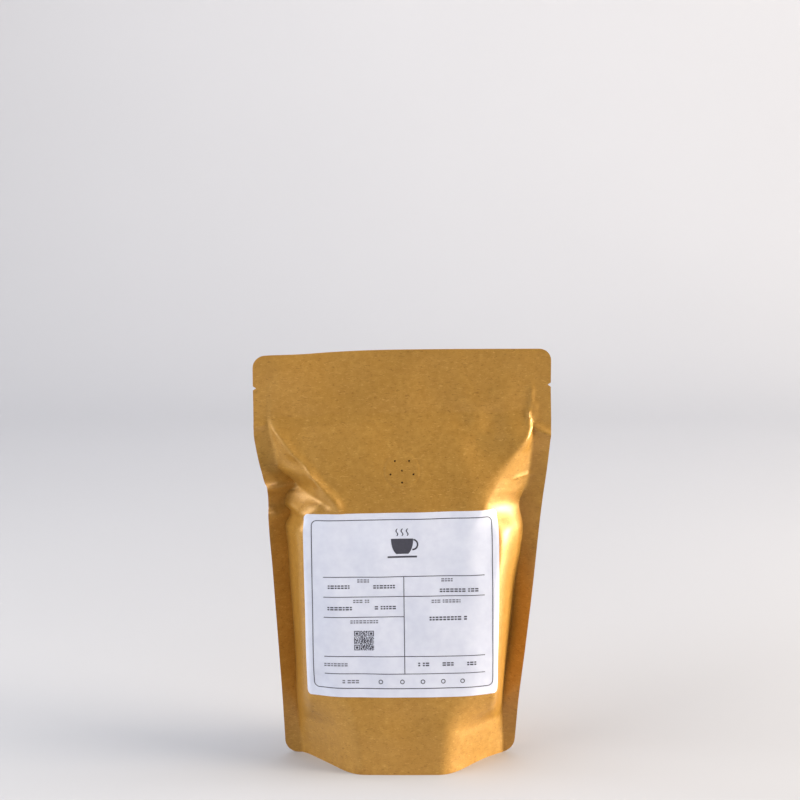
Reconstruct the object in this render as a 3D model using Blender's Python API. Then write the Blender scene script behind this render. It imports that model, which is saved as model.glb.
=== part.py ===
"""A filled stand-up coffee pouch of kraft laminate, with a paper label on its front.

The pouch is one solid out to its outer skin: a flat header with tear notches, two heat-sealed
side fins, a bulging front and back, a valve vent and a base folded up at its two ends. Metres,
+Z up, the front faces -Y, and the origin is on the table under the middle of the base.
"""

import math

import bmesh
import bpy
import numpy as np
from mathutils import Matrix, Vector

for old in list(bpy.data.objects):
    bpy.data.objects.remove(old)

MM = 0.001

# Driving sizes of the pouch as it stands filled
HEIGHT = 213.7 * MM
FILM = 0.9 * MM  # thickness of the header and of the side fins
TOP_CORNER = 6 * MM
FOOT_CORNER = 7 * MM
LEFT_NOTCH = 197.1 * MM
RIGHT_NOTCH = 195.3 * MM
NOTCH_DEPTH = 1.6 * MM
NOTCH_HALF = 1.2 * MM
CROWN = 0.05  # how much the flat middle of the front and the back still bows across
SHOULDER_ROUND = 0.12  # share of the half width over which the film turns into its shoulder
BACK_FLAT = 0.84  # the back has no label to stiffen it: its flat middle is this much narrower
LEAN_START = 0.5  # share of the half width from where a leaning side fin takes the film along
SLUMP_START = 120 * MM  # the header's slump starts at this height
SLUMP_REACH = 50 * MM  # and is complete this much higher

# Valve vent: a low round boss with a ring of pinholes round a middle one
VALVE_HEIGHT = 153.5 * MM
VALVE_RADIUS = 9.3 * MM
VALVE_PROUD = 0.45 * MM
VALVE_SLOPE_REACH = 5 * MM  # the boss takes the front's slope over this much above and below
VALVE_ROOT = 2 * MM  # how far the boss reaches into the pouch
VALVE_SIDES = 40
PINHOLE_RADIUS = 0.5 * MM
PINHOLE_DEPTH = 1.2 * MM
PINHOLE_CIRCLE = 6.1 * MM
PINHOLES = 5
PINHOLE_SIDES = 8
PINHOLE_TOOL_TOP = 2 * MM

# Base: the gusset sheet rises inside the skirt towards both ends
SKIRT = 1.2 * MM
GUSSET_FLAT = 0.46  # share of the half width that lies flat on the table
GUSSET_END = 0.94
GUSSET_RISE = 22 * MM

# Label: a die-cut paper rectangle with rounded corners
LABEL_WIDTH = 99.1 * MM
LABEL_HEIGHT = 93.1 * MM
LABEL_CORNER = 2.5 * MM
LABEL_CENTRE = 86.1 * MM
LABEL_TURN = math.radians(1.0)
LABEL_THICKNESS = 0.4 * MM
LABEL_GAP = 0.3 * MM
SKIN_REACH = 60 * MM  # the skin is measured this far to both sides when the label is laid on it
SKIN_SAMPLES = 481
SLOPE_STEP = 0.4 * MM

# Points of the grid from the middle to one cut edge, and over the base and the label
FRONT_COLUMNS = 9
WALL_COLUMNS = 5
FIN_COLUMNS = 3
BASE_ROWS = 7
LABEL_ROWS = 18
LABEL_COLUMNS = 25

KRAFT = (0.434, 0.216, 0.051)
PAPER = (0.69, 0.71, 0.80)


class Curve:
    """A smooth curve through (place, value) points in millimetres that doesn't overshoot them."""

    def __init__(self, *points, unit=MM):
        self.place = np.array([p[0] for p in points]) * MM
        self.value = np.array([p[1] for p in points]) * unit
        step = np.diff(self.place)
        slope = np.diff(self.value) / step
        self.slope = np.zeros(len(points))
        for i in range(1, len(points) - 1):
            before, after = slope[i - 1], slope[i]
            if before * after > 0:
                near, far = step[i - 1] + 2 * step[i], 2 * step[i - 1] + step[i]
                self.slope[i] = (near + far) / (near / before + far / after)

    def __call__(self, place):
        place = np.clip(place, self.place[0], self.place[-1])
        k = np.clip(np.searchsorted(self.place, place) - 1, 0, len(self.place) - 2)
        step = self.place[k + 1] - self.place[k]
        t = (place - self.place[k]) / step
        start, end = self.value[k], self.value[k + 1]
        bend = self.slope[k] * (1 - t) ** 2 * t - self.slope[k + 1] * (1 - t) * t**2
        return start + (end - start) * ease(t) + step * bend


def ease(t):
    """0 to 1 with flat ends, for t from 0 to 1."""
    t = np.clip(t, 0, 1)
    return t * t * (3 - 2 * t)


# Shape of the pouch over its height, in millimetres: (height, value)
DEPTH = Curve((0, 32.7), (8, 31.9), (18, 30.8), (30, 29.1), (45, 27), (65, 24.5), (90, 21.6),
              (115, 18.1), (130, 15.7), (141, 13.7), (153, 10.8), (170, 4.9), (181, 0.7), (213.7, 0))
LEFT_EDGE = Curve((0, 60.9), (28, 61.8), (55, 63.3), (82, 65), (104, 66.4), (125, 67.9),
                  (145, 68.3), (148, 69.6), (154, 71.5), (160, 73), (167, 74.4), (174, 75.3),
                  (192, 75.3), (213.7, 75.2))
RIGHT_EDGE = Curve((0, 58.5), (10, 59.2), (28, 60.4), (55, 63.2), (82, 66.1), (109, 69),
                   (135, 71.8), (151, 73.9), (164, 75.2), (174, 75.7), (198, 75.2), (213.7, 75.2))
LEFT_FOLD = Curve((0, 52), (20, 54.1), (39, 55), (53, 55.3), (72, 56.3), (93, 57.7), (112, 58.6),
                  (122, 59.7), (129, 57), (134, 60.1), (139, 58.9), (144.5, 54.4), (155, 63.2),
                  (166, 65.2), (173, 66.6), (181, 68.2), (213.7, 68.2))
RIGHT_FOLD = Curve((0, 53), (22, 52.4), (37, 53.1), (50, 54.3), (72, 56.6), (96, 58.8), (108, 60.8),
                   (121, 62.1), (133, 60.1), (143, 63.7), (147, 64.9), (163, 66), (172, 66.4),
                   (213.7, 67))
# On its way from the middle to a side fold the film turns twice: softly into a slanting shoulder,
# then steeply down the side wall. Shares of the half width where each turn is, the share of the
# depth that the shoulder gives up, and how much of the wall the second turn is rounded over.
LEFT_SHOULDER = Curve((0, 0.48), (20, 0.5), (40, 0.58), (213.7, 0.6), unit=1)
RIGHT_SHOULDER = Curve((0, 0.47), (20, 0.5), (40, 0.58), (213.7, 0.6), unit=1)
LEFT_SLANT = Curve((0, 0.91), (20, 0.75), (30, 0.42), (39, 0.2), (50, 0.14), (65, 0.09),
                   (118, 0.06), (213.7, 0.04), unit=1)
RIGHT_SLANT = Curve((0, 0.75), (20, 0.8), (30, 0.45), (39, 0.23), (50, 0.15), (65, 0.09),
                    (118, 0.06), (213.7, 0.04), unit=1)
LEFT_WALL = Curve((0, 0.93), (39, 0.89), (60, 0.885), (100, 0.87), (130, 0.865), (134, 0.78),
                  (139, 0.7), (144.5, 0.77), (157, 0.775), (164, 0.86), (170, 0.915), (177, 0.98),
                  (213.7, 0.97), unit=1)
RIGHT_WALL = Curve((0, 0.82), (20, 0.91), (39, 0.915), (60, 0.885), (100, 0.855), (122, 0.83),
                   (132, 0.77), (140, 0.735), (146, 0.74), (152, 0.785), (159, 0.865), (166, 0.94),
                   (173, 0.98), (213.7, 0.97), unit=1)
LEFT_ROUND = Curve((0, 0.5), (118, 0.35), (132, 0.3), (139, 0.15), (213.7, 0.1), unit=1)
RIGHT_ROUND = Curve((0, 0.5), (118, 0.4), (136, 0.4), (160, 0.45), (175, 0.3), (213.7, 0.2), unit=1)
# How far the side fins lean back where they buckle
LEFT_LEAN = Curve((0, 0), (112, 0), (122, 0.5), (135, 2.2), (150, 1.2), (165, 0), (181, 0),
                  (213.7, -2.5))
RIGHT_LEAN = Curve((0, 0), (95, 0.4), (135, 3), (160, 1.6), (169, -0.6), (175, 0.8), (213.7, 0))
# How steeply the side fins turn forward from their folds: rise towards the front per run across
LEFT_CURL = Curve((0, 0), (25, 0.4), (45, 0.6), (145, 0.65), (155, 0.4), (165, 0.05), (181, 0),
                  (213.7, 0), unit=1)
RIGHT_CURL = Curve((0, 0), (25, 0.3), (45, 0.55), (60, 0.65), (80, 0.65), (95, 0.5), (115, 0.25),
                   (150, 0.12), (165, 0), (213.7, 0), unit=1)
# The buckled left fin lets the header slump to the left: (place across, drop)
SLUMP = Curve((-75, 3.5), (-66, 3), (-50, 2.6), (-40, 2), (-30, 1.4), (-20, 0.9), (0, 0.4),
              (35, 0.1), (75, 0))


def across(x, height):
    """How far x is out from the middle, as a share of the half width up to the side fold."""
    return np.where(x < 0, -x / LEFT_FOLD(height), x / RIGHT_FOLD(height))


def pick(x, left, right, height):
    """The left curve's value for points left of the middle, the right curve's for the others."""
    return np.where(x < 0, left(height), right(height))


def turned(beyond, rounding):
    """How far a point lies beyond a turn, eased over `rounding` on both sides of it."""
    eased = np.clip(beyond + rounding, 0, None) ** 2 / (4 * rounding)
    return np.where(beyond > rounding, beyond, eased)


def bulge(x, height, face):
    """The share of the full depth at x: 1 over the middle, 0 on the side fins."""
    out = across(x, height)
    narrow = BACK_FLAT if face > 0 else 1
    shoulder = pick(x, LEFT_SHOULDER, RIGHT_SHOULDER, height) * narrow
    wall = pick(x, LEFT_WALL, RIGHT_WALL, height) * narrow
    slant = pick(x, LEFT_SLANT, RIGHT_SLANT, height) / (wall - shoulder)
    steep = (1 - slant * (1 - shoulder)) / (1 - wall)
    rounding = pick(x, LEFT_ROUND, RIGHT_ROUND, height) * (1 - wall)
    lost = slant * turned(out - shoulder, SHOULDER_ROUND) + steep * turned(out - wall, rounding)
    return np.clip(1 - lost, 0, 1) * (1 - CROWN * out**2)


def fin_shift(x, height):
    """How far a leaning or forward-turned side fin moves the film along Y."""
    share = ease((across(x, height) - LEAN_START) / (1 - LEAN_START))
    beyond = np.clip(np.abs(x) - pick(x, LEFT_FOLD, RIGHT_FOLD, height), 0, None)
    lean = pick(x, LEFT_LEAN, RIGHT_LEAN, height) * share
    return lean - pick(x, LEFT_CURL, RIGHT_CURL, height) * beyond


def skin(x, height, face):
    """The point on the front (face -1) or the back (face 1) at x and a nominal height."""
    depth = FILM / 2 + DEPTH(height) * bulge(x, height, face)
    drop = SLUMP(x) * ease((height - SLUMP_START) / SLUMP_REACH)
    y = face * depth + fin_shift(x, height)
    return np.stack(np.broadcast_arrays(x, y, height - drop), axis=-1)


def outer_edge(edge, notch_height, height):
    """Half width out to the cut edge, with its rounded corners and its tear notch."""
    half = float(edge(height))
    notch = NOTCH_DEPTH * max(0, 1 - abs(height - notch_height) / NOTCH_HALF)
    for radius, near in ((TOP_CORNER, HEIGHT - height), (FOOT_CORNER, height)):
        if near < radius:
            half -= radius - math.sqrt(radius**2 - (radius - near) ** 2)
    return half - notch


def row_heights():
    """Heights of the grid's rows: close together at the corners, notches and creases."""
    turn = [1 - math.cos(math.radians(a)) for a in (0, 20, 40, 60, 90)]
    foot = [FOOT_CORNER * share for share in turn]
    top = [HEIGHT - TOP_CORNER * share for share in turn]
    notch = []
    for middle in (LEFT_NOTCH, RIGHT_NOTCH):
        notch += [middle - NOTCH_HALF, middle, middle + NOTCH_HALF]
    body = [h * MM for h in (14, 22, 31, 41, 52, 63, 74, 85, 96, 107, 116, 122, 127, 131, 135,
                             139, 143, 147, 151, 155, 160, 165, 170, 175, 179, 183, 188)]
    return sorted(foot + body + notch + top)


def column_places(height):
    """x of the grid's columns at one height, from the left cut edge to the right one."""
    halves = []
    for fold, wall, edge, notch in ((LEFT_FOLD, LEFT_WALL, LEFT_EDGE, LEFT_NOTCH),
                                    (RIGHT_FOLD, RIGHT_WALL, RIGHT_EDGE, RIGHT_NOTCH)):
        half = fold(height)
        turn = half * wall(height)
        on_front = np.linspace(0, turn, FRONT_COLUMNS)
        on_wall = np.linspace(turn, half, WALL_COLUMNS)[1:]
        on_fin = np.linspace(half, outer_edge(edge, notch, height), FIN_COLUMNS)[1:]
        halves.append(np.concatenate([on_front, on_wall, on_fin]))
    return np.concatenate([-halves[0][:0:-1], halves[1]])


def gusset_height(x):
    """How high the base sheet is lifted at x."""
    t = (across(x, 0.0) - GUSSET_FLAT) / (GUSSET_END - GUSSET_FLAT)
    return GUSSET_RISE * np.clip(t, 0, 1) ** 1.5


def material(name, colour, roughness):
    mat = bpy.data.materials.new(name)
    mat.use_nodes = True
    shader = mat.node_tree.nodes["Principled BSDF"]
    shader.inputs["Base Color"].default_value = (*colour, 1)
    shader.inputs["Roughness"].default_value = roughness
    shader.inputs["Metallic"].default_value = 0
    return mat


def new_object(name, bm, mat, smooth_angle=35):
    """Weld the mesh's coinciding points, drop its empty faces and put it in the scene."""
    bmesh.ops.remove_doubles(bm, verts=bm.verts, dist=0.00001)
    bmesh.ops.dissolve_degenerate(bm, dist=0.000005, edges=bm.edges)
    bmesh.ops.triangulate(bm, faces=bm.faces)
    bmesh.ops.recalc_face_normals(bm, faces=bm.faces)
    mesh = bpy.data.meshes.new(name)
    bm.to_mesh(mesh)
    bm.free()
    mesh.materials.append(mat)
    mesh.shade_smooth()
    mesh.set_sharp_from_angle(angle=math.radians(smooth_angle))
    obj = bpy.data.objects.new(name, mesh)
    bpy.context.scene.collection.objects.link(obj)
    return obj


def add_grid(bm, points):
    """A sheet of quads through rows of points; returns its vertices, row by row."""
    rows = [[bm.verts.new(p) for p in row] for row in points]
    for low, high in zip(rows, rows[1:]):
        for i in range(len(low) - 1):
            bm.faces.new((low[i], low[i + 1], high[i + 1], high[i]))
    return rows


def base_rows(front, back):
    """Rows of points across the base, between the front foot line and the back one."""
    x = front[:, 0]
    inner_front = front[:, 1] + SKIRT
    inner_back = back[:, 1] - SKIRT
    hollow = (across(x, 0.0) < GUSSET_END) & (inner_front < 0)
    lift = gusset_height(x)
    rows = []
    for share, lifted in [(0, 0), *((share, 1) for share in np.linspace(0, 1, BASE_ROWS)), (1, 0)]:
        y = inner_front + share * (inner_back - inner_front)
        place = np.stack([x, y, lifted * lift], axis=1)
        rows.append(np.where(hollow[:, None], place, front))
    return rows


def make_pouch(mat):
    heights = row_heights()
    front = [skin(column_places(h), h, -1) for h in heights]
    back = [skin(column_places(h), h, 1) for h in heights]
    bm = bmesh.new()
    add_grid(bm, front)
    add_grid(bm, back)
    add_grid(bm, [front[-1], back[-1]])
    add_grid(bm, [front[0], *base_rows(front[0], back[0]), back[0]])
    for side in (0, -1):
        add_grid(bm, [[row[side] for row in front], [row[side] for row in back]])
    return new_object("pouch", bm, mat)


def valve_frame():
    """Place of the vent on the front: its centre, with the skin's outward normal as local Z."""
    heights = np.array([VALVE_HEIGHT - VALVE_SLOPE_REACH, VALVE_HEIGHT + VALVE_SLOPE_REACH])
    low, high = skin(0.0, heights, -1)
    centre = Vector((low + high) / 2)
    up = (Vector(high) - Vector(low)).normalized()
    right = Vector((1, 0, 0))
    out = right.cross(up)
    return Matrix.Translation(centre) @ Matrix((right, up, out)).transposed().to_4x4()


def tool(name, frame, radius, low, high, sides):
    """A short cylinder along the frame's Z, used to add to or cut the pouch."""
    bm = bmesh.new()
    bmesh.ops.create_cone(bm, cap_ends=True, segments=sides, radius1=radius, radius2=radius,
                          depth=high - low)
    mesh = bpy.data.meshes.new(name)
    bm.to_mesh(mesh)
    bm.free()
    obj = bpy.data.objects.new(name, mesh)
    obj.matrix_world = frame @ Matrix.Translation((0, 0, (low + high) / 2))
    obj.hide_render = True
    obj.display_type = "WIRE"
    bpy.context.scene.collection.objects.link(obj)
    return obj


def combine(obj, other, operation):
    mod = obj.modifiers.new(other.name, "BOOLEAN")
    mod.operation = operation
    mod.object = other


def add_vent(pouch):
    frame = valve_frame()
    boss = tool("vent_boss", frame, VALVE_RADIUS, -VALVE_ROOT, VALVE_PROUD, VALVE_SIDES)
    combine(pouch, boss, "UNION")
    places = [(0, 0)]
    for i in range(PINHOLES):
        turn = math.radians(-90 + 360 / PINHOLES * i)
        places.append((PINHOLE_CIRCLE * math.cos(turn), PINHOLE_CIRCLE * math.sin(turn)))
    floor = VALVE_PROUD - PINHOLE_DEPTH
    for i, (x, y) in enumerate(places):
        hole = frame @ Matrix.Translation((x, y, 0))
        pin = tool(f"vent_pin_{i}", hole, PINHOLE_RADIUS, floor, PINHOLE_TOOL_TOP, PINHOLE_SIDES)
        combine(pouch, pin, "DIFFERENCE")


def label_outline_half(v):
    """Half width of the label at a height v above its middle, with its rounded corners."""
    over = np.clip(np.abs(v) - (LABEL_HEIGHT / 2 - LABEL_CORNER), 0, LABEL_CORNER)
    return LABEL_WIDTH / 2 - LABEL_CORNER + np.sqrt(LABEL_CORNER**2 - over**2)


def wrap(u, height, out):
    """The point on the front at a length u along the skin from the middle, `out` proud of it."""
    x_places = np.linspace(-SKIN_REACH, SKIN_REACH, SKIN_SAMPLES)
    line = skin(x_places, height, -1)
    length = np.concatenate([[0], np.cumsum(np.linalg.norm(np.diff(line, axis=0), axis=1))])
    x = np.interp(u, length - length[SKIN_SAMPLES // 2], x_places)
    side = skin(x + SLOPE_STEP, height, -1) - skin(x - SLOPE_STEP, height, -1)
    rise = skin(x, height + SLOPE_STEP, -1) - skin(x, height - SLOPE_STEP, -1)
    normal = np.cross(side, rise)
    return skin(x, height, -1) + out * normal / np.linalg.norm(normal)


def make_label(mat):
    turn = [1 - math.cos(math.radians(a)) for a in (0, 45, 90)]
    ends = [LABEL_HEIGHT / 2 - LABEL_CORNER * share for share in turn]
    between = list(np.linspace(-ends[-1], ends[-1], LABEL_ROWS)[1:-1])
    rows = sorted([-v for v in ends] + between + ends)
    shares = np.linspace(-1, 1, LABEL_COLUMNS)
    cos, sin = math.cos(LABEL_TURN), math.sin(LABEL_TURN)
    faces = []
    for out in (LABEL_GAP, LABEL_GAP + LABEL_THICKNESS):
        sheet = []
        for v in rows:
            flat_u = shares * label_outline_half(v)
            turned_u = flat_u * cos - v * sin
            heights = LABEL_CENTRE + flat_u * sin + v * cos
            sheet.append([wrap(u, height, out) for u, height in zip(turned_u, heights)])
        faces.append(sheet)
    inner, outer = faces
    bm = bmesh.new()
    add_grid(bm, inner)
    add_grid(bm, outer)
    for side in (0, -1):
        add_grid(bm, [inner[side], outer[side]])
        add_grid(bm, [[row[side] for row in inner], [row[side] for row in outer]])
    return new_object("label", bm, mat)


pouch = make_pouch(material("kraft laminate", KRAFT, 0.45))
add_vent(pouch)
make_label(material("label paper", PAPER, 0.6))
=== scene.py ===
"""The looks of a filled stand-up coffee pouch: creased kraft laminate, a printed paper label and a
pierced valve vent, on a pale table in soft studio light. Metres, +Z up, the front faces -Y."""

import math
import random

import bmesh
import bpy
import numpy as np
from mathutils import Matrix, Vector


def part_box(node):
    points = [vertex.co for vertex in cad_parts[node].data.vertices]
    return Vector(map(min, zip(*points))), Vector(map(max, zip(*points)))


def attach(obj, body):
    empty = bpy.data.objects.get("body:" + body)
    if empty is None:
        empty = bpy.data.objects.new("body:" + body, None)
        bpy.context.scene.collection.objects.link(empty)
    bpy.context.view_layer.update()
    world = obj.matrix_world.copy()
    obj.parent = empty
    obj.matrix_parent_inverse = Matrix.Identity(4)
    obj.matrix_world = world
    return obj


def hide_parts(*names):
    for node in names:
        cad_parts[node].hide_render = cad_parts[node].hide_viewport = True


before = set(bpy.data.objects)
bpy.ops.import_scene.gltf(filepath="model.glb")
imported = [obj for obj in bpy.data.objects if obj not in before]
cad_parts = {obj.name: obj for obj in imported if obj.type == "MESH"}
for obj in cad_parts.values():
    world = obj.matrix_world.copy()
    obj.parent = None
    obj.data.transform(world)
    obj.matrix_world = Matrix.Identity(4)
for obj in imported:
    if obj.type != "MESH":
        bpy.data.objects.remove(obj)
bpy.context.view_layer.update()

MM = 0.001
BODY = "root"

# The pouch's solid gives the height and the label's solid its place
pouch_low, pouch_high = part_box("pouch")
label_low, label_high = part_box("label")
HEIGHT = pouch_high.z - pouch_low.z

# Pouch, as it stands filled
FILM = 0.4 * MM  # two films sealed together
TOP_CORNER = 6 * MM
FOOT_CORNER = 7 * MM
LEFT_NOTCH = 197.1 * MM
RIGHT_NOTCH = 195.3 * MM
NOTCH_DEPTH = 1.6 * MM
NOTCH_HALF = 1.1 * MM
CROWN = 0.05  # how much the flat middle of the front and the back still bows across
SHOULDER_ROUND = 0.12  # share of the half width over which the film turns into its shoulder
BACK_FLAT = 0.84  # the back has no label to stiffen it: its flat middle is this much narrower
LEAN_START = 0.5  # share of the half width from where a leaning side fin takes the film along
SLUMP_START = 120 * MM  # the header's slump starts at this height
SLUMP_REACH = 50 * MM  # and is complete this much higher
ZIP_HEIGHT = 179 * MM
ZIP_HALF = 2.2 * MM
ZIP_PROUD = 0.22 * MM
ZIP_SLOPE = 0.8 * MM  # over which its edges rise

# Low relief of the film
RELIEF_END = 1.02  # ripples, dents, zip and vent stop at this share of the half width
RELIEF_FADE = 0.12  # and fade over this share before it
FOOT_FADE = 6 * MM  # all relief comes in over this height above the table
RIPPLE_FADE = 25 * MM  # and ripples over this one
CREASE_SHARPNESS = 1.3  # power of a crease's fall from its line to its sides
CREASE_FADE = 0.25  # share of its length over which each end of a crease fades out

# Mesh of the film
MESH_STEP = 1.0 * MM
FINE_STEP = 0.45 * MM  # over the vent
VENT_MARGIN = 2 * MM  # the fine rows and columns reach this far past the vent
VENT_COLUMNS = 25  # from the middle to past the vent, on each side
WALL_COLUMNS = 52  # from there to the side fold
FIN_COLUMNS = 9  # from the side fold to the cut edge
GUSSET_ROWS = 21
MERGE_DISTANCE = 0.004 * MM
LEAST_EDGE = 0.002 * MM
SHARP_ANGLE = math.radians(50)

# Valve vent
VALVE_HEIGHT = 153.5 * MM
VALVE_RADIUS = 9.3 * MM
VALVE_PROUD = 0.14 * MM
VALVE_SLOPE = 1.2 * MM  # over which its rim rises
VALVE_GROOVE = 0.1 * MM
VALVE_GROOVE_HALF = 0.5 * MM
PINHOLE_RADIUS = 0.5 * MM
PINHOLE_DEPTH = 1.6 * MM
PINHOLE_CIRCLE = 6.1 * MM
PINHOLES = 5  # on the circle, and one in its middle
PINHOLE_SIDES = 14
PINHOLE_RAGGED = (0.8, 1.15)  # least and greatest share of the radius

# Base gusset, with a hollow under each of its ends
SKIRT = 0.8 * MM  # from the outside of the foot to the hollow
GUSSET_FLAT = 0.46  # share of the half width where the hollow starts
GUSSET_END = 0.94  # and where it ends
GUSSET_RISE = 22 * MM
GUSSET_CURVE = 1.5  # the hollow's roof rises as this power of the way out to its end

# Label
LABEL_WIDTH = 99.1 * MM
LABEL_HEIGHT = 93.1 * MM
LABEL_CORNER = 2.5 * MM
LABEL_TURN = math.radians(0.7)  # it is stuck on with its right side a little high
LABEL_SKEW = math.radians(0.5)  # its top edge is turned this much more, its bottom edge less
LABEL_CENTRE = (label_low.z + label_high.z) / 2
LABEL_GAP = 0.08 * MM
LABEL_THICKNESS = 0.13 * MM
INK = 0.05 * MM  # proud of the paper and sunk in it
LABEL_ROWS = 88
LABEL_COLUMNS = 100

# Camera: it stands CAMERA_DISTANCE from a point at ORBIT_HEIGHT on the pouch's axis
CAMERA_DISTANCE = 1.0
CAMERA_RISE = math.radians(15)
CAMERA_LENS = 87.4
CAMERA_SIDE = -1 * MM
ORBIT_HEIGHT = 0.515 * HEIGHT
AIM_HEIGHT = 0.877 * HEIGHT  # high, so that the pouch stands low in the picture


class Curve:
    """A smooth curve through (place, value) points in millimetres that doesn't overshoot them."""

    def __init__(self, *points, unit=MM):
        self.place = np.array([p[0] for p in points]) * MM
        self.value = np.array([p[1] for p in points]) * unit
        step = np.diff(self.place)
        slope = np.diff(self.value) / step
        self.slope = np.zeros(len(points))
        for i in range(1, len(points) - 1):
            before, after = slope[i - 1], slope[i]
            if before * after > 0:
                near, far = step[i - 1] + 2 * step[i], 2 * step[i - 1] + step[i]
                self.slope[i] = (near + far) / (near / before + far / after)

    def __call__(self, place):
        place = np.clip(place, self.place[0], self.place[-1])
        k = np.clip(np.searchsorted(self.place, place) - 1, 0, len(self.place) - 2)
        step = self.place[k + 1] - self.place[k]
        t = (place - self.place[k]) / step
        start, end = self.value[k], self.value[k + 1]
        bend = self.slope[k] * (1 - t) ** 2 * t - self.slope[k + 1] * (1 - t) * t**2
        return start + (end - start) * ease(t) + step * bend


def ease(t):
    """0 to 1 with flat ends, for t from 0 to 1."""
    t = np.clip(t, 0, 1)
    return t * t * (3 - 2 * t)


# Shape of the pouch over its height, in millimetres: (height, value)
DEPTH = Curve((0, 32.7), (8, 31.9), (18, 30.8), (30, 29.1), (45, 27), (65, 24.5), (90, 21.6),
              (115, 18.1), (130, 15.7), (141, 13.7), (153, 10.8), (170, 4.9), (181, 0.7), (213.7, 0))
LEFT_EDGE = Curve((0, 60.9), (28, 61.8), (55, 63.3), (82, 65), (104, 66.4), (125, 67.9),
                  (145, 68.3), (148, 69.6), (154, 71.5), (160, 73), (167, 74.4), (174, 75.3),
                  (192, 75.3), (213.7, 75.2))
RIGHT_EDGE = Curve((0, 58.5), (10, 59.2), (28, 60.4), (55, 63.2), (82, 66.1), (109, 69),
                   (135, 71.8), (151, 73.9), (164, 75.2), (174, 75.7), (198, 75.2), (213.7, 75.2))
LEFT_FOLD = Curve((0, 52), (20, 54.1), (39, 55), (53, 55.3), (72, 56.3), (93, 57.7), (112, 58.6),
                  (122, 59.7), (129, 57), (134, 60.1), (139, 58.9), (144.5, 54.4), (155, 63.2),
                  (166, 65.2), (173, 66.6), (181, 68.2), (213.7, 68.2))
RIGHT_FOLD = Curve((0, 53), (22, 52.4), (37, 53.1), (50, 54.3), (72, 56.6), (96, 58.8), (108, 60.8),
                   (121, 62.1), (133, 60.1), (143, 63.7), (147, 64.9), (163, 66), (172, 66.4),
                   (213.7, 67))
# On its way from the middle to a side fold the film turns twice: softly into a slanting shoulder,
# then steeply down the side wall. Shares of the half width where each turn is, the share of the
# depth that the shoulder gives up, and how much of the wall the second turn is rounded over.
LEFT_SHOULDER = Curve((0, 0.48), (20, 0.5), (40, 0.58), (213.7, 0.6), unit=1)
RIGHT_SHOULDER = Curve((0, 0.47), (20, 0.5), (40, 0.58), (213.7, 0.6), unit=1)
LEFT_SLANT = Curve((0, 0.91), (20, 0.75), (30, 0.42), (39, 0.2), (50, 0.14), (65, 0.09),
                   (118, 0.06), (213.7, 0.04), unit=1)
RIGHT_SLANT = Curve((0, 0.75), (20, 0.8), (30, 0.45), (39, 0.23), (50, 0.15), (65, 0.09),
                    (118, 0.06), (213.7, 0.04), unit=1)
LEFT_WALL = Curve((0, 0.93), (39, 0.89), (60, 0.885), (100, 0.87), (130, 0.865), (134, 0.78),
                  (139, 0.7), (144.5, 0.77), (157, 0.775), (164, 0.86), (170, 0.915), (177, 0.98),
                  (213.7, 0.97), unit=1)
RIGHT_WALL = Curve((0, 0.82), (20, 0.91), (39, 0.915), (60, 0.885), (100, 0.855), (122, 0.83),
                   (132, 0.77), (140, 0.735), (146, 0.74), (152, 0.785), (159, 0.865), (166, 0.94),
                   (173, 0.98), (213.7, 0.97), unit=1)
LEFT_ROUND = Curve((0, 0.5), (118, 0.35), (132, 0.3), (139, 0.15), (213.7, 0.1), unit=1)
RIGHT_ROUND = Curve((0, 0.5), (118, 0.4), (136, 0.4), (160, 0.45), (175, 0.3), (213.7, 0.2), unit=1)
# How far the side fins lean back where they buckle
LEFT_LEAN = Curve((0, 0), (112, 0), (122, 0.5), (135, 2.2), (150, 1.2), (165, 0), (181, 0),
                  (213.7, -2.5))
RIGHT_LEAN = Curve((0, 0), (95, 0.4), (135, 3), (160, 1.6), (169, -0.6), (175, 0.8), (213.7, 0))
# How steeply the side fins turn forward from their folds: rise towards the front per run across
LEFT_CURL = Curve((0, 0), (25, 0.4), (45, 0.6), (145, 0.65), (155, 0.4), (165, 0.05), (181, 0),
                  (213.7, 0), unit=1)
RIGHT_CURL = Curve((0, 0), (25, 0.3), (45, 0.55), (60, 0.65), (80, 0.65), (95, 0.5), (115, 0.25),
                   (150, 0.12), (165, 0), (213.7, 0), unit=1)
# The buckled left fin lets the header slump to the left: (place across, drop)
SLUMP = Curve((-75, 3.5), (-66, 3), (-50, 2.6), (-40, 2), (-30, 1.4), (-20, 0.9), (0, 0.4),
              (35, 0.1), (75, 0))

# Creases in the front film, in millimetres: from and to as (x, height), how far the crease stands
# out (or in, below zero), and how wide it is towards its left and its right
CREASES = (
    ((-50, 158), (-30, 131), 1.0, 6, 4),
    ((-58, 146), (-33, 134), -1.6, 5, 3.5),
    ((-60, 137), (-50, 128), 0.9, 4, 5),
    ((67, 176), (30, 116), 1.0, 13, 8),
    ((66, 196), (65.5, 182), 0.6, 2.2, 1.6),
    ((64.6, 184), (64, 175), 0.8, 2.0, 1.6),
    ((67.5, 188), (67, 176), 0.7, 1.8, 1.6),
    ((50, 174.5), (68, 174), 0.25, 1.5, 1.5),
    ((55, 147), (68, 149), 0.5, 1.5, 2.5),
    ((63, 175.5), (83, 165.5), 1.5, 2.6, 3.2),
    ((-84, 176.5), (-68, 178.2), 1.2, 2.4, 2.4),
)
# Crest of the left fold, from its top down: (x, height)
CREST = ((-66.5, 177), (-60.4, 169.5), (-55, 163), (-48.3, 156), (-42, 147.5), (-33.5, 138.5),
         (-30.5, 132))
CREST_RISE = 1.3 * MM
CREST_HALF = 4.2 * MM
CREST_SHARPNESS = 1.5  # power of its fall to its sides
# Where the crest ends below its foot and above its top, and the heights over which each end fades
CREST_BELOW, CREST_FOOT_FADE = 2 * MM, 8 * MM
CREST_ABOVE, CREST_TOP_FADE = 1 * MM, 10 * MM
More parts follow.
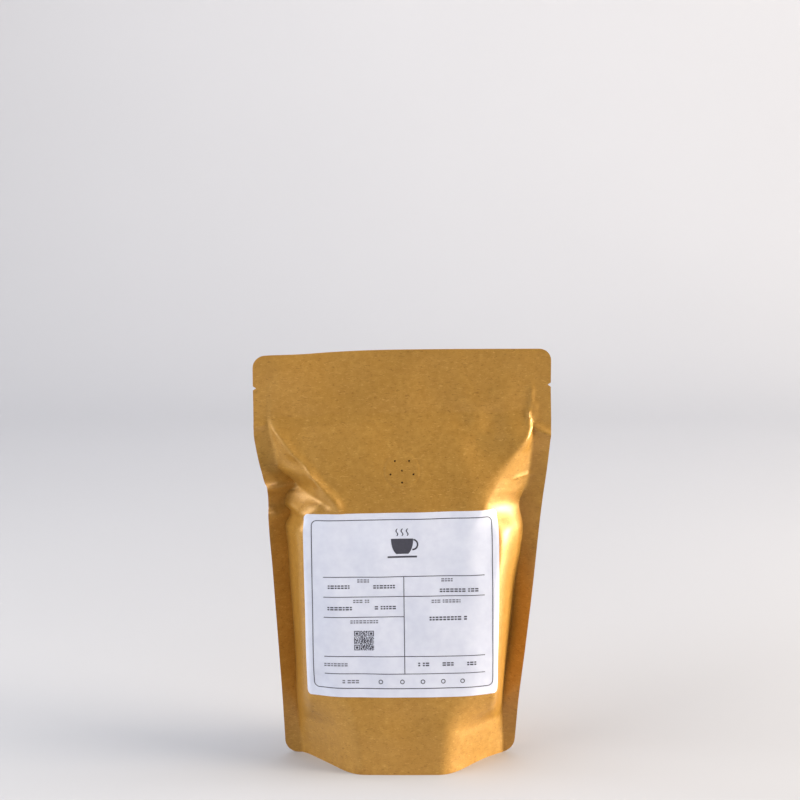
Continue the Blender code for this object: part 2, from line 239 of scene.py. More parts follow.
# Soft dents: (x, height), half width, half height, depth
DENTS = (
    ((46, 175), 6, 8, 1.3),
    ((38, 166), 6, 7, 1.1),
    ((30, 177), 5, 6, 0.8),
    ((40, 194), 6, 6, 0.6),
    ((-41.6, 46), 5, 5, 0.5),
    ((-27, 40.5), 8, 2, 0.25),
    ((42, 106), 5, 6, 0.4),
    ((46, 42), 6, 5, 0.5),
)
# Slow unevenness of a film laid over beans: each wave's length in millimetres, slant in degrees,
# height in millimetres, and start in radians
RIPPLES = ((46, 20, 0.22, 0.3), (31, 100, 0.16, 1.9), (24, 61, 0.12, 4.1), (19, 150, 0.08, 2.7))


def across(x, height):
    """How far x is out from the middle, as a share of the half width up to the side fold."""
    return np.where(x < 0, -x / LEFT_FOLD(height), x / RIGHT_FOLD(height))


def pick(x, left, right, height):
    """The left curve's value for points left of the middle, the right curve's for the others."""
    return np.where(x < 0, left(height), right(height))


def turned(beyond, rounding):
    """How far a point lies beyond a turn, eased over `rounding` on both sides of it."""
    eased = np.clip(beyond + rounding, 0, None) ** 2 / (4 * rounding)
    return np.where(beyond > rounding, beyond, eased)


def bulge(x, height, face):
    """The share of the full depth at x: 1 over the middle, 0 on the side fins."""
    out = across(x, height)
    narrow = BACK_FLAT if face > 0 else 1
    shoulder = pick(x, LEFT_SHOULDER, RIGHT_SHOULDER, height) * narrow
    wall = pick(x, LEFT_WALL, RIGHT_WALL, height) * narrow
    slant = pick(x, LEFT_SLANT, RIGHT_SLANT, height) / (wall - shoulder)
    steep = (1 - slant * (1 - shoulder)) / (1 - wall)
    rounding = pick(x, LEFT_ROUND, RIGHT_ROUND, height) * (1 - wall)
    lost = slant * turned(out - shoulder, SHOULDER_ROUND) + steep * turned(out - wall, rounding)
    return np.clip(1 - lost, 0, 1) * (1 - CROWN * out**2)


def fin_shift(x, height):
    """How far a leaning or forward-turned side fin moves the film along Y."""
    share = ease((across(x, height) - LEAN_START) / (1 - LEAN_START))
    beyond = np.clip(np.abs(x) - pick(x, LEFT_FOLD, RIGHT_FOLD, height), 0, None)
    lean = pick(x, LEFT_LEAN, RIGHT_LEAN, height) * share
    return lean - pick(x, LEFT_CURL, RIGHT_CURL, height) * beyond


def beside_line(x, height, start, end):
    """How far a point is along and beside a line drawn in millimetres, and the line's length."""
    start, end = np.array(start) * MM, np.array(end) * MM
    length = np.linalg.norm(end - start)
    along = (end - start) / length
    place = (x - start[0]) * along[0] + (height - start[1]) * along[1]
    side = (x - start[0]) * -along[1] + (height - start[1]) * along[0]
    return place, side, length


def crease_relief(x, height):
    """How far the creases move the front film outwards."""
    relief = np.zeros(np.broadcast(x, height).shape)
    for start, end, rise, left, right in CREASES:
        place, side, length = beside_line(x, height, start, end)
        width = np.where(side > 0, right, left) * MM
        tent = np.clip(1 - np.abs(side) / width, 0, 1) ** CREASE_SHARPNESS
        fade = CREASE_FADE * length
        relief += rise * MM * tent * ease(place / fade) * ease((length - place) / fade)
    return relief


def crest_relief(x, height):
    """A narrow raised line along the crest of the left fold, fading out at its ends."""
    near = np.full(np.broadcast(x, height).shape, np.inf)
    for start, end in zip(CREST, CREST[1:]):
        place, side, length = beside_line(x, height, start, end)
        near = np.minimum(near, np.hypot(place - np.clip(place, 0, length), side))
    above_foot = height - CREST[-1][1] * MM + CREST_BELOW
    below_top = CREST[0][1] * MM + CREST_ABOVE - height
    fade = ease(above_foot / CREST_FOOT_FADE) * ease(below_top / CREST_TOP_FADE)
    return CREST_RISE * fade * np.clip(1 - near / CREST_HALF, 0, 1) ** CREST_SHARPNESS


def dent_relief(x, height):
    """How far the soft dents move the front film outwards: below zero, as they go in."""
    relief = np.zeros(np.broadcast(x, height).shape)
    for (x0, h0), wide, high, depth in DENTS:
        spread = ((x - x0 * MM) / (wide * MM)) ** 2 + ((height - h0 * MM) / (high * MM)) ** 2
        relief -= depth * MM * np.exp(-spread)
    return relief


def ripple_relief(x, height, face):
    """Slow waves over the filled part and the header."""
    waves = np.zeros(np.broadcast(x, height).shape)
    for length, slant, rise, start in RIPPLES:
        turn = math.radians(slant) + face
        place = x * math.cos(turn) + height * math.sin(turn)
        waves += rise * MM * np.sin(2 * math.pi * place / (length * MM) + start + face)
    return waves


def vent_relief(x, height):
    """The low round boss of the valve behind the film, with a fine groove at its rim."""
    away = np.hypot(x, height - VALVE_HEIGHT)
    boss = VALVE_PROUD * ease((VALVE_RADIUS - away) / VALVE_SLOPE)
    groove = VALVE_GROOVE * np.exp(-(((away - VALVE_RADIUS) / VALVE_GROOVE_HALF) ** 2))
    return boss - groove


def zip_relief(height):
    """The press-to-close strip, felt through the header as a flat band."""
    return ZIP_PROUD * ease((ZIP_HALF - np.abs(height - ZIP_HEIGHT)) / ZIP_SLOPE)


def skin(x, height, face):
    """The point on the front (face -1) or the back (face 1) at x and a nominal height."""
    inside = ease((RELIEF_END - across(x, height)) / RELIEF_FADE)
    ripples = ripple_relief(x, height, face) * ease(height / RIPPLE_FADE)
    relief = inside * (ripples + zip_relief(height))
    if face < 0:
        relief = relief + inside * (dent_relief(x, height) + vent_relief(x, height))
        relief = relief + crease_relief(x, height) + crest_relief(x, height)
    relief = relief * ease(height / FOOT_FADE)
    depth = FILM / 2 + DEPTH(height) * bulge(x, height, face) + relief
    depth = np.maximum(depth, FILM / 2)
    drop = SLUMP(x) * ease((height - SLUMP_START) / SLUMP_REACH)
    y = face * depth + fin_shift(x, height)
    return np.stack(np.broadcast_arrays(x, y, height - drop), axis=-1)


def outer_edge(edge, notch_height, height):
    """Half width out to the cut edge, with its rounded corners and its tear notch."""
    half = float(edge(height))
    notch = NOTCH_DEPTH * max(0, 1 - abs(height - notch_height) / NOTCH_HALF)
    for radius, near in ((TOP_CORNER, HEIGHT - height), (FOOT_CORNER, height)):
        if near < radius:
            half -= radius - math.sqrt(radius**2 - (radius - near) ** 2)
    return half - notch


def corner_shares(step):
    """How far in from its edge each row of a round corner lies, as a share of the radius, with
    `step` degrees of turn from row to row."""
    return [1 - math.cos(math.radians(turn)) for turn in range(0, 91, step)]


def row_heights():
    """Heights of the mesh's rows, closer at the corners, at the notches and over the vent."""
    rows = [FOOT_CORNER * share for share in corner_shares(9)]
    rows += [HEIGHT - TOP_CORNER * share for share in corner_shares(9)]
    for notch in (LEFT_NOTCH, RIGHT_NOTCH):
        rows += [notch - NOTCH_HALF, notch, notch + NOTCH_HALF]
    reach = VALVE_RADIUS + VENT_MARGIN
    spans = ((FOOT_CORNER, VALVE_HEIGHT - reach, MESH_STEP),
             (VALVE_HEIGHT - reach, VALVE_HEIGHT + reach, FINE_STEP),
             (VALVE_HEIGHT + reach, RIGHT_NOTCH - NOTCH_HALF, MESH_STEP),
             (LEFT_NOTCH + NOTCH_HALF, HEIGHT - TOP_CORNER, MESH_STEP))
    for low, high, step in spans:
        rows += list(np.linspace(low, high, round((high - low) / step) + 1)[1:-1])
    return sorted(rows)


def column_places(height):
    """x of the mesh's columns at one height, closer over the vent."""
    halves = []
    for fold, edge, notch in ((LEFT_FOLD, LEFT_EDGE, LEFT_NOTCH), (RIGHT_FOLD, RIGHT_EDGE, RIGHT_NOTCH)):
        half = float(fold(height))
        vent = (VALVE_RADIUS + VENT_MARGIN) * half / fold(VALVE_HEIGHT)
        middle = np.linspace(0, vent, VENT_COLUMNS)
        wall = np.linspace(vent, half, WALL_COLUMNS)[1:]
        fin = np.linspace(half, outer_edge(edge, notch, height), FIN_COLUMNS)[1:]
        halves.append(np.concatenate([middle, wall, fin]))
    return np.concatenate([-halves[0][:0:-1], halves[1]])


def base_rows(front, back):
    """Rows of points across the base, between the front foot line and the back one. Outside the
    hollows they lie on the table."""
    x = front[:, 0]
    inner_front = front[:, 1] + SKIRT
    inner_back = back[:, 1] - SKIRT
    share_out = across(x, 0.0)
    hollow = (share_out < GUSSET_END) & (inner_front < 0)
    into_hollow = np.clip((share_out - GUSSET_FLAT) / (GUSSET_END - GUSSET_FLAT), 0, 1)
    lift = GUSSET_RISE * into_hollow**GUSSET_CURVE
    roof = [(share, 1) for share in np.linspace(0, 1, GUSSET_ROWS)]
    rows = []
    for share, lifted in [(0, 0), *roof, (1, 0)]:
        y = inner_front + share * (inner_back - inner_front)
        place = np.stack([x, y, lifted * lift], axis=1)
        rows.append(np.where(hollow[:, None], place, front))
    return rows


# ---------------------------------------------------------------- finishes

def linear(hex_colour):
    """An sRGB hex colour as linear red, green, blue and alpha."""
    parts = [int(hex_colour[i:i + 2], 16) / 255 for i in (1, 3, 5)]
    return (*(c / 12.92 if c <= 0.04045 else ((c + 0.055) / 1.055) ** 2.4 for c in parts), 1)


def add(tree, kind, inputs=(), **settings):
    """Add a node with its settings; an input takes a value or a link from another node's output."""
    made = tree.nodes.new(kind)
    for name, value in settings.items():
        setattr(made, name, value)
    for name, value in dict(inputs).items():
        if isinstance(value, bpy.types.NodeSocket):
            tree.links.new(value, made.inputs[name])
        else:
            made.inputs[name].default_value = value
    return made


def new_material(name, roughness, **values):
    """A material with its shader's plain values set; returns it, its tree and its shader."""
    mat = bpy.data.materials.new(name)
    mat.use_nodes = True
    shader = mat.node_tree.nodes["Principled BSDF"]
    shader.inputs["Roughness"].default_value = roughness
    for socket, value in values.items():
        shader.inputs[socket.replace("_", " ")].default_value = value
    return mat, mat.node_tree, shader


def two_tones(tree, shader, size, first, second):
    """Colour a plain surface with soft clouds of the given size, between two close tones."""
    place = add(tree, "ShaderNodeTexCoord").outputs["Object"]
    cloud = add(tree, "ShaderNodeTexNoise", {"Vector": place, "Scale": 1 / size})
    colour = add(tree, "ShaderNodeMix", {0: cloud.outputs["Fac"], 6: linear(first),
                                         7: linear(second)}, data_type="RGBA")
    tree.links.new(colour.outputs[2], shader.inputs["Base Color"])


def kraft_laminate():
    """Unbleached kraft paper, varnished and laminated to a barrier film: a warm brown sheet with
    cloudy pulp, short dark and pale fibres, a fine grain and a satin gloss. Its varnish soaks into
    the paper, so its highlights keep some of the brown: a part metallic value gives that."""
    mat, tree, shader = new_material("kraft_laminate", 0.4, IOR=1.5, Metallic=0.3,
                                     Coat_Weight=0.3, Coat_Roughness=0.3)
    place = add(tree, "ShaderNodeTexCoord").outputs["Object"]
    # pulp clouds about 3 mm across, and broad ones of 25 mm
    clouds = add(tree, "ShaderNodeTexNoise", {"Vector": place, "Scale": 1 / (3 * MM), "Detail": 4.0,
                                              "Roughness": 0.6}).outputs["Fac"]
    broad = add(tree, "ShaderNodeTexNoise", {"Vector": place, "Scale": 1 / (25 * MM),
                                             "Detail": 2.0}).outputs["Fac"]
    # fibres 2 mm long and 0.7 mm thick on a slant, drawn coarser than real ones so that they show
    run = add(tree, "ShaderNodeMapping", {"Vector": place, "Rotation": (0, 0.5, 0),
                                          "Scale": (1 / (2 * MM), 1 / (1.5 * MM), 1 / (0.7 * MM))})
    fibres = add(tree, "ShaderNodeTexNoise", {"Vector": run.outputs["Vector"], "Scale": 1.0,
                                              "Detail": 2.0, "Distortion": 1.2}).outputs["Fac"]
    # each layer: its pattern, the pattern's value where it starts and where it is full, how
    # strong it is there, and its colour
    layers = (
        (clouds, 0.3, 0.7, 1.0, "#C59441"),  # pale pulp
        (broad, 0.35, 0.65, 0.35, "#AF7F2F"),  # warm patches
        (fibres, 0.4, 0.28, 0.6, "#8A5A20"),  # dark fibres
        (fibres, 0.6, 0.74, 0.6, "#DCAE5C"),  # pale fibres
    )
    colour = linear("#B58334")
    for pattern, start, full, strength, tint in layers:
        share = add(tree, "ShaderNodeMapRange", {"Value": pattern, "From Min": start,
                                                 "From Max": full, "To Max": strength})
        colour = add(tree, "ShaderNodeMix", {0: share.outputs[0], 6: colour, 7: linear(tint)},
                     data_type="RGBA").outputs[2]
    tree.links.new(colour, shader.inputs["Base Color"])
    gloss = add(tree, "ShaderNodeMapRange", {"Value": clouds, "From Min": 0.3, "From Max": 0.7,
                                             "To Min": 0.36, "To Max": 0.46})
    tree.links.new(gloss.outputs[0], shader.inputs["Roughness"])
    # paper grain, drawn at 0.7 mm, coarser than the real one, so that it shows
    grain = add(tree, "ShaderNodeTexNoise", {"Vector": place, "Scale": 1 / (0.7 * MM), "Detail": 3.0})
    uneven = add(tree, "ShaderNodeBump", {"Height": clouds, "Strength": 0.2, "Distance": 0.3 * MM})
    fine = add(tree, "ShaderNodeBump", {"Height": grain.outputs["Fac"], "Strength": 0.3,
                                        "Distance": 0.1 * MM, "Normal": uneven.outputs["Normal"]})
    tree.links.new(fine.outputs["Normal"], shader.inputs["Normal"])
    return mat


def label_paper():
    """Coated white label paper, die-cut: a cool, matt white with a barely visible fibre."""
    mat, tree, shader = new_material("label_paper", 0.55, IOR=1.45)
    place = add(tree, "ShaderNodeTexCoord").outputs["Object"]
    # clouds in the pulp, 4 mm across
    cloud = add(tree, "ShaderNodeTexNoise", {"Vector": place, "Scale": 1 / (4 * MM), "Detail": 3.0})
    tone = add(tree, "ShaderNodeMapRange", {"Value": cloud.outputs["Fac"], "From Min": 0.3,
                                            "From Max": 0.7})
    colour = add(tree, "ShaderNodeMix", {0: tone.outputs[0], 6: linear("#D8DCEC"),
                                         7: linear("#E0E4F2")}, data_type="RGBA")
    tree.links.new(colour.outputs[2], shader.inputs["Base Color"])
    # fibre under the coating, drawn at 0.6 mm so that it shows
    grain = add(tree, "ShaderNodeTexNoise", {"Vector": place, "Scale": 1 / (0.6 * MM), "Detail": 3.0})
    bump = add(tree, "ShaderNodeBump", {"Height": grain.outputs["Fac"], "Strength": 0.08,
                                        "Distance": 0.1 * MM})
    tree.links.new(bump.outputs["Normal"], shader.inputs["Normal"])
    return mat


def printed_toner(name, full, worn):
    """Toner fused to paper: a dark grey, a little uneven where it didn't take."""
    mat, tree, shader = new_material(name, 0.5)
    two_tones(tree, shader, 1.5 * MM, full, worn)
    return mat


def valve_disc_and_painted_shade():
    """Dark moulded polyethylene, the valve's disc seen down the pinholes, given a dim brown that also
    paints the shade inside the holes.
    """
    mat, tree, shader = new_material("valve_disc_and_painted_shade", 0.6)
    # dim brown tones: the disc's own dark colour together with painted shade down the holes
    two_tones(tree, shader, 0.5 * MM, "#3E210C", "#5A3516")
    return mat


def studio_paper():
    """Uncoated paper on a roll, swept up behind the pouch: pale, matt and even."""
    mat, tree, shader = new_material("studio_paper", 0.9)
    two_tones(tree, shader, 400 * MM, "#C0C0C2", "#C5C5C7")
    return mat


# ---------------------------------------------------------------- making pieces

def finish_piece(name, bm, mat):
    """Turn the mesh into a smooth-shaded piece that rides on the pouch's body."""
    bmesh.ops.remove_doubles(bm, verts=bm.verts, dist=MERGE_DISTANCE)
    bmesh.ops.dissolve_degenerate(bm, dist=LEAST_EDGE, edges=bm.edges)
    bmesh.ops.recalc_face_normals(bm, faces=bm.faces)
    mesh = bpy.data.meshes.new(name)
    bm.to_mesh(mesh)
    bm.free()
    mesh.materials.append(mat)
    mesh.shade_smooth()
    mesh.set_sharp_from_angle(angle=SHARP_ANGLE)
    piece = bpy.data.objects.new(name, mesh)
    bpy.context.scene.collection.objects.link(piece)
    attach(piece, BODY)
    return piece


def add_grid(bm, points):
    """A sheet of quads through rows of points."""
    rows = [[bm.verts.new(p) for p in row] for row in points]
    for low, high in zip(rows, rows[1:]):
        for i in range(len(low) - 1):
            bm.faces.new((low[i], low[i + 1], high[i + 1], high[i]))


def pierce(pouch, mat):
    """Cut the vent's pinholes as short, slightly ragged blind holes square to the film."""
    reach = 5 * MM  # above and below the vent's middle, to find how the film slants
    low, high = skin(0.0, np.array([VALVE_HEIGHT - reach, VALVE_HEIGHT + reach]), -1)
    up = (Vector(high) - Vector(low)).normalized()
    right = Vector((1, 0, 0))
    out = right.cross(up)
    places = [(0, 0)]
    for i in range(PINHOLES):
        turn = math.radians(-90 + 360 / PINHOLES * i)
        places.append((PINHOLE_CIRCLE * math.cos(turn), PINHOLE_CIRCLE * math.sin(turn)))
    bm = bmesh.new()
    rng = random.Random(5)
    for a, b in places:
        middle = Vector(skin(a, VALVE_HEIGHT + b * up.z, -1))
        made = bmesh.ops.create_cone(bm, cap_ends=True, segments=PINHOLE_SIDES,
                                     radius1=PINHOLE_RADIUS, radius2=PINHOLE_RADIUS,
                                     depth=2 * PINHOLE_DEPTH)
        for vert in made["verts"]:
            ragged = rng.uniform(*PINHOLE_RAGGED)
            x, y, z = vert.co
            vert.co = middle + right * x * ragged + up * y * ragged + out * z
    mesh = bpy.data.meshes.new("pinhole_tool")
    bm.to_mesh(mesh)
    bm.free()
    mesh.materials.append(mat)
    tool = bpy.data.objects.new("pinhole_tool", mesh)
    bpy.context.scene.collection.objects.link(tool)
    cut = pouch.modifiers.new("pinholes", "BOOLEAN")
    cut.operation = "DIFFERENCE"
    cut.object = tool
    # the holes' walls and floors take the tool's dim brown, which paints the shade inside them
    cut.material_mode = "TRANSFER"
    with bpy.context.temp_override(object=pouch):
        bpy.ops.object.modifier_apply(modifier=cut.name)
    bpy.data.objects.remove(tool)


def make_pouch():
    """The film: its front and its back, the gusset at its base, and its cut edges."""
    heights = row_heights()
    front = [skin(column_places(h), h, -1) for h in heights]
    back = [skin(column_places(h), h, 1) for h in heights]
    bm = bmesh.new()
    add_grid(bm, front)
    add_grid(bm, back)
    add_grid(bm, [front[-1], back[-1]])
    add_grid(bm, [front[0], *base_rows(front[0], back[0]), back[0]])
    for side in (0, -1):
        add_grid(bm, [[row[side] for row in front], [row[side] for row in back]])
    pouch = finish_piece("pouch_film", bm, kraft_laminate())
    # the pinholes are lined with dim brown painted shade over the valve's dark disc
    pierce(pouch, valve_disc_and_painted_shade())
    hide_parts("pouch")


# Label coordinates are in metres: u to the right and v up from the label's middle. The table for
# laying it on the film reaches 56 mm each way, by lengths 1 mm and heights 2 mm apart.
TABLE_U_STEP = 1 * MM
TABLE_H_STEP = 2 * MM
TABLE_U = np.arange(-56, 57, 1.0) * MM
TABLE_H = np.arange(-56, 57, 2.0) * MM + LABEL_CENTRE
SLOPE_REACH = 0.6 * MM  # to each side of a point, to find how the film slants there


def across_table():
    """x at each true length across the front, for each of the label's heights."""
    fine = np.linspace(-58, 58, 581) * MM
    table = []
    for height in TABLE_H:
        line = skin(fine, height, -1)
        length = np.concatenate([[0], np.cumsum(np.hypot(np.diff(line[:, 0]), np.diff(line[:, 1])))])
        length -= length[len(fine) // 2]
        table.append(np.interp(TABLE_U, length, fine))
    return np.array(table)


ACROSS = across_table()


def wrap(u, v, out):
    """The points at label coordinates u and v, laid on the front film and `out` proud of it."""
    turn = LABEL_TURN + LABEL_SKEW * v / (LABEL_HEIGHT / 2)
    cos, sin = np.cos(turn), np.sin(turn)
    # the skew turns the rows alone, and the label's sides stay straight
    level = u * cos - v * math.sin(LABEL_TURN)
    height = LABEL_CENTRE + u * sin + v * cos
    i = np.clip(((level - TABLE_U[0]) / TABLE_U_STEP).astype(int), 0, len(TABLE_U) - 2)
    j = np.clip(((height - TABLE_H[0]) / TABLE_H_STEP).astype(int), 0, len(TABLE_H) - 2)
    s = (level - TABLE_U[i]) / TABLE_U_STEP
    t = (height - TABLE_H[j]) / TABLE_H_STEP
    low = ACROSS[j, i] * (1 - s) + ACROSS[j, i + 1] * s
    high = ACROSS[j + 1, i] * (1 - s) + ACROSS[j + 1, i + 1] * s
    x = low * (1 - t) + high * t
    side = skin(x + SLOPE_REACH, height, -1) - skin(x - SLOPE_REACH, height, -1)
    rise = skin(x, height + SLOPE_REACH, -1) - skin(x, height - SLOPE_REACH, -1)
    normal = np.cross(side, rise)
    normal /= np.linalg.norm(normal, axis=-1, keepdims=True)
    return skin(x, height, -1) + out * normal


def add_slab(bm, u, v, low, high, closed=False):
    """A thin closed sheet over a grid of label coordinates, from `low` to `high` proud of the film.
    A closed one joins its last column to its first."""
    bottom, top = wrap(u, v, low), wrap(u, v, high)
    levels = [[[bm.verts.new(p) for p in row] for row in grid] for grid in (bottom, top)]
    rows, columns = u.shape
    spans = range(columns if closed else columns - 1)
    for grid in levels:
        for j in range(rows - 1):
            for i in spans:
                k = (i + 1) % columns
                bm.faces.new((grid[j][i], grid[j][k], grid[j + 1][k], grid[j + 1][i]))
    below, above = levels
    for j in (0, rows - 1):
        for i in spans:
            k = (i + 1) % columns
            bm.faces.new((below[j][i], below[j][k], above[j][k], above[j][i]))
    if not closed:
        for i in (0, columns - 1):
            for j in range(rows - 1):
                bm.faces.new((below[j][i], below[j + 1][i], above[j + 1][i], above[j][i]))


def make_label():
    """The label's paper: a thin closed sheet with rounded corners."""
    ends = [LABEL_HEIGHT / 2 - LABEL_CORNER * share for share in corner_shares(15)]
    between = list(np.linspace(-ends[-1], ends[-1], LABEL_ROWS)[1:-1])
    rows = sorted([-v for v in ends] + between + ends)
    v = np.array(rows)[:, None]
    over = np.clip(np.abs(v) - (LABEL_HEIGHT / 2 - LABEL_CORNER), 0, LABEL_CORNER)
    half = LABEL_WIDTH / 2 - LABEL_CORNER + np.sqrt(LABEL_CORNER**2 - over**2)
    u = half * np.linspace(-1, 1, LABEL_COLUMNS)[None, :]
    bm = bmesh.new()
    add_slab(bm, u, np.broadcast_to(v, u.shape), LABEL_GAP, LABEL_GAP + LABEL_THICKNESS)
    label = finish_piece("label_sheet", bm, label_paper())
    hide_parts("label")


FRAME_STEPS = 90  # along each side of the form's frame
LINE = 0.38  # width of the form's ruled lines, in millimetres
# Filler dashes, as shares of the height of their line of print
DASH_WIDTHS = (0.55, 0.75, 0.95)
LEAST_DASH = 0.3
UPPER_DASH, LOWER_DASH, LOWER_DASH_DOWN = 0.36, 0.38, 0.62
LETTER_GAP, WORD_GAP = 0.26, 0.75
WORD_ENDS = 0.12  # chance that a word ends after a letter


class Print:
    """One colour of print: thin slabs of ink on the label. Sizes and places are in millimetres
    from the label's top left corner, to the right and down."""

    def __init__(self, name, mat):
        self.name, self.mat, self.bm = name, mat, bmesh.new()

    def patch(self, across_mm, down_mm, closed=False):
        """A slab of ink over a grid of places."""
        u = np.array(across_mm) * MM - LABEL_WIDTH / 2
        v = LABEL_HEIGHT / 2 - np.array(down_mm) * MM
        base = LABEL_GAP + LABEL_THICKNESS
        add_slab(self.bm, u, v, base - INK, base + INK, closed)

    def bar(self, left, top, width, height):
        """A rectangle, in steps of about 1 mm so that it follows the label."""
        xs = np.linspace(left, left + width, max(2, round(width) + 1))
        ys = np.linspace(top, top + height, max(2, round(height) + 1))
        self.patch(*np.meshgrid(xs, ys))

    def loop(self, xs, ys, nx, ny, line):
        """A line of a given width along a closed path with known normals."""
        half = line / 2
        self.patch([xs - nx * half, xs + nx * half], [ys - ny * half, ys + ny * half], closed=True)

    def ring(self, x, y, radius, line, steps=24):
        """A circle, drawn as a line."""
        turn = np.linspace(0, 2 * math.pi, steps, endpoint=False)
        cos, sin = np.cos(turn), np.sin(turn)
        self.loop(x + radius * cos, y + radius * sin, cos, sin, line)

    def frame(self, left, top, width, height, corner, line):
        """A rectangle with rounded corners, drawn as a line."""
        right, bottom = left + width - corner, top + height - corner
        centres = ((right, top + corner), (right, bottom), (left + corner, bottom),
                   (left + corner, top + corner))
        places, normals = [], []
        for k, (x, y) in enumerate(centres):
            for a in np.radians(np.linspace(90 * k - 90, 90 * k, 7)):
                normals.append((math.cos(a), math.sin(a)))
                places.append((x + corner * math.cos(a), y + corner * math.sin(a)))
            # the straight run to the next corner, in steps short enough to follow the label
            next_x, next_y = centres[(k + 1) % 4]
            out = np.array(normals[-1])
            start = np.array(places[-1])
            end = np.array((next_x, next_y)) + corner * out
            for t in np.linspace(0, 1, FRAME_STEPS)[1:-1]:
                normals.append(out)
                places.append(start + (end - start) * t)
        places, normals = np.array(places), np.array(normals)
        self.loop(places[:, 0], places[:, 1], normals[:, 0], normals[:, 1], line)

    def words(self, middle, down, width, height, rng):
        """A line of filler: pairs of dashes as wide as letters, in place of words."""
        left = middle - width / 2
        end = middle + width / 2
        top = down - height / 2
        while left < end - LEAST_DASH * height:
            wide = min(rng.choice(DASH_WIDTHS) * height, end - left)
            self.bar(left, top, wide, UPPER_DASH * height)
            self.bar(left, top + LOWER_DASH_DOWN * height, wide, LOWER_DASH * height)
            gap = WORD_GAP if rng.random() < WORD_ENDS else LETTER_GAP
            left += wide + gap * height

    def done(self):
        """Turn all that is printed in this colour into one piece."""
        finish_piece(self.name, self.bm, self.mat)


def print_form(dark):
    """The form's frame and ruled lines."""
    dark.frame(left=4.2, top=3.4, width=91.4, height=85.2, corner=2.6, line=0.42)
    left, middle, right = 9.9, 50.6, 91.4
    first, last = 32.0, 81.2
    for down, end in ((first, right), (42.0, right), (52.3, middle), (72.4, right), (last, right)):
        dark.bar(left, down - LINE / 2, end - left, LINE)
    dark.bar(middle - LINE / 2, first, LINE, last - first)


def print_cup(dark):
    """A plain cup with a saucer and three wisps of steam."""
    x, rim = 50.0, 13.0
    rim_half, cup_height, bowl_height = 5.6, 7.6, 8.6  # the bowl's curve runs on below the cup's foot
    down = np.linspace(0, cup_height, 9)
    half = rim_half * np.sqrt(1 - (down / bowl_height) ** 2) ** 0.8
    share = np.linspace(-1, 1, 9)
    dark.patch(x + half[:, None] * share, rim + down[:, None] + 0 * share)
    saucer_half = 7.4
    dark.bar(x - saucer_half, 21.6, 2 * saucer_half, 0.9)
    handle_x, handle_y = x + 5.3, rim + 3.0
    radius = np.array([[2.1], [2.9]])  # of the handle's inside and outside
    turn = np.radians(np.linspace(-80, 95, 12))
    dark.patch(handle_x + radius * np.cos(turn), handle_y + radius * np.sin(turn))
    wisp_foot, wisp_height, wisp_half, wisp_spacing = 11.6, 3.6, 0.28, 2.6
    rise = np.linspace(0, wisp_height, 9)
    sway = 0.45 * np.sin(rise * 1.9)
    for k in (-1, 0, 1):
        wisp = x + wisp_spacing * k + sway
        dark.patch([wisp - wisp_half, wisp + wisp_half], [wisp_foot - rise, wisp_foot - rise])


def print_matrix(dark, rng):
    """A square of small blocks with three corner marks, as scanning codes have. It codes nothing."""
    cells, size, mark = 25, 0.4, 7  # cells along a side, a cell's width, a corner mark's cells
    middle_x, middle_y = 30.2, 64.2
    left, top = middle_x - cells * size / 2, middle_y - cells * size / 2
    span = mark * size
    for corner_x, corner_y in ((0, 0), (cells - mark, 0), (0, cells - mark)):
        x, y = left + corner_x * size, top + corner_y * size
        dark.bar(x, y, span, size)
        dark.bar(x, y + span - size, span, size)
        dark.bar(x, y + size, size, span - 2 * size)
        dark.bar(x + span - size, y + size, size, span - 2 * size)
        dark.bar(x + 2 * size, y + 2 * size, 3 * size, 3 * size)
    for row in range(cells):
        beside_marks = row <= mark or row >= cells - mark - 1
        column = mark + 1 if beside_marks else 0
        last = cells - mark - 1 if row <= mark else cells
        while column < last:
            run = min(rng.choice((1, 1, 1, 2, 3)), last - column)
            dark.bar(left + column * size, top + row * size, run * size, size)
            column += run + rng.choice((1, 1, 2))


def print_fillers(dark, light, rng):
    """Filler where a form has its headings and entries, and five rings for a scale. Each line of
    filler has its middle, how far down it is and its width."""
    headings = ((30.1, 33.9, 6.0), (72.8, 34.0, 6.6), (29.6, 44.2, 9.4), (71.8, 44.6, 14.6),
                (30.4, 54.6, 14.0), (16.1, 76.6, 12.6))
    for middle, down, width in headings:
        light.words(middle, down, width, 1.6, rng)
    entries = ((17.7, 36.9, 11.0), (40.8, 36.9, 11.2), (78.9, 39.2, 20.4), (18.1, 47.8, 12.4),
               (41.2, 47.6, 10.8))
    for middle, down, width in entries:
        dark.words(middle, down, width, 1.75, rng)
    dark.words(72.9, 53.2, 19.0, 1.9, rng)
    for middle in (60.2, 72.5, 85.0):
        dark.words(middle, 76.4, 5.6, 1.8, rng)
    light.words(23.3, 85.2, 8.6, 1.7, rng)
    for middle in (38.4, 49.3, 59.7, 70.0, 79.8):
        dark.ring(middle, 85.2, 0.95, 0.4)


def make_print():
    """All that is printed on the label, in two strengths of toner."""
    rng = random.Random(11)
    dark = Print("label_print", printed_toner("toner", "#3C3C47", "#4B4B57"))
    light = Print("label_small_print", printed_toner("thin_toner", "#6A6A77", "#7B7B88"))
    print_form(dark)
    print_cup(dark)
    print_matrix(dark, rng)
    print_fillers(dark, light, rng)
    dark.done()
    light.done()


# ---------------------------------------------------------------- stage, light and camera

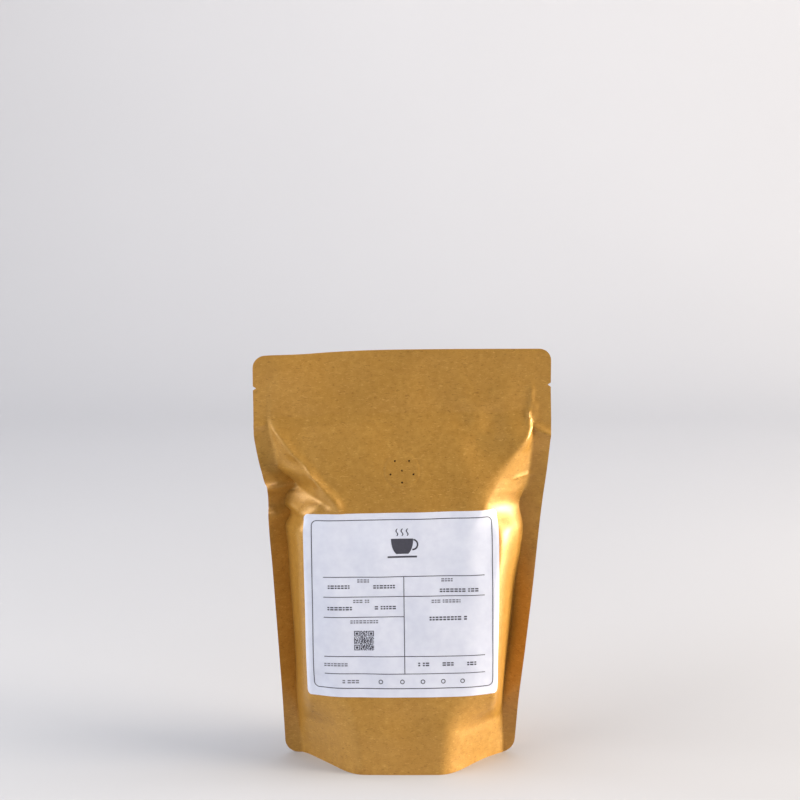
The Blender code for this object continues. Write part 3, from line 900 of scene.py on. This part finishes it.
def make_stage():
    """A table top that sweeps up behind the pouch, in metres."""
    width, front, behind, rise, sweep = 4.0, -2.0, 1.6, 2.6, 0.7
    profile = [(front, 0.0), (behind - sweep, 0.0)]
    for a in range(6, 91, 6):
        turn = math.radians(a)
        profile.append((behind - sweep + sweep * math.sin(turn), sweep * (1 - math.cos(turn))))
    profile.append((behind, rise))
    bm = bmesh.new()
    add_grid(bm, [[(x, y, z) for x in (-width, width)] for y, z in profile])
    bmesh.ops.recalc_face_normals(bm, faces=bm.faces)
    mesh = bpy.data.meshes.new("table")
    bm.to_mesh(mesh)
    bm.free()
    mesh.materials.append(studio_paper())
    mesh.shade_smooth()
    table = bpy.data.objects.new("table", mesh)
    bpy.context.scene.collection.objects.link(table)


def add_light(name, place, aim, width, height, power, hex_colour):
    """A soft rectangular light, in metres and watts."""
    data = bpy.data.lights.new(name, "AREA")
    data.shape = "RECTANGLE"
    data.size, data.size_y = width, height
    data.energy = power
    data.color = linear(hex_colour)[:3]
    light = bpy.data.objects.new(name, data)
    light.location = place
    light.rotation_euler = (Vector(aim) - Vector(place)).to_track_quat("-Z", "Y").to_euler()
    bpy.context.scene.collection.objects.link(light)


def make_light():
    """A warm low window and some sky to the right, a weak window to the left, and a wash on the
    sweep behind."""
    pouch = (0, 0, 0.55 * HEIGHT)
    backdrop = (0, 1.6, 0.6)
    warm, plain, cool = "#FFF3E2", "#FFFFFF", "#F2F5FF"
    add_light("right_window", (1.5, -0.03, 0.2), pouch, 0.9, 0.36, 44, warm)
    add_light("right_skylight", (1.22, -0.3, 0.92), pouch, 0.6, 0.5, 12, warm)
    add_light("left_window", (-0.79, -0.33, 0.55), pouch, 0.8, 0.7, 8, plain)
    add_light("backdrop_wash", (0, 0.3, 1.6), backdrop, 1.8, 0.5, 20, cool)
    world = bpy.data.worlds.new("studio")
    bpy.context.scene.world = world
    world.use_nodes = True
    sky = world.node_tree.nodes["Background"]
    sky.inputs["Color"].default_value = linear("#E4E9F6")
    sky.inputs["Strength"].default_value = 0.27


def make_camera():
    """A camera before the front, raised above it and aimed at its upper part."""
    data = bpy.data.cameras.new("camera")
    data.lens = CAMERA_LENS
    camera = bpy.data.objects.new("camera", data)
    back = CAMERA_DISTANCE * math.cos(CAMERA_RISE)
    up = ORBIT_HEIGHT + CAMERA_DISTANCE * math.sin(CAMERA_RISE)
    camera.location = (CAMERA_SIDE, -back, up)
    aim = Vector((CAMERA_SIDE, 0, AIM_HEIGHT))
    camera.rotation_euler = (aim - camera.location).to_track_quat("-Z", "Y").to_euler()
    bpy.context.scene.collection.objects.link(camera)
    bpy.context.scene.camera = camera


make_camera()
make_stage()
make_light()
make_pouch()
make_label()
make_print()
bpy.context.scene.view_settings.view_transform = "Standard"
